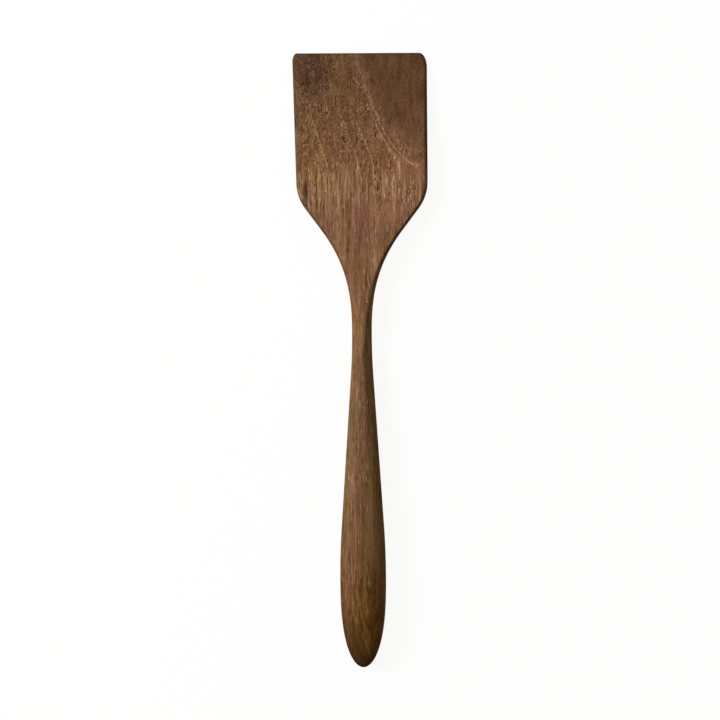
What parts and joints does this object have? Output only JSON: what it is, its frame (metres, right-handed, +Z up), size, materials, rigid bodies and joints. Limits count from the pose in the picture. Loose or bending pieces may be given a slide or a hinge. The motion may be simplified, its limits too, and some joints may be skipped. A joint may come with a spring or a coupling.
{
  "type": "spatula",
  "caption": "One-piece wooden turner with a flat square-ended blade bevelled to a thin tip, sloping shoulders, a slim neck and a teardrop grip.",
  "frame": {"origin": "middle of the turner's box, on the plane that its flat underside lies on", "axes": "+Y along the turner towards the blade's tip, +Z up out of the blade's bevelled face, +X to the right seen from above"},
  "size_m": [0.0726, 0.3302, 0.017],
  "materials": {
    "hardwood": "oiled satin"
  },
  "bodies": {
    "root": {"spatula": "hardwood"}
  },
  "joints": []
}
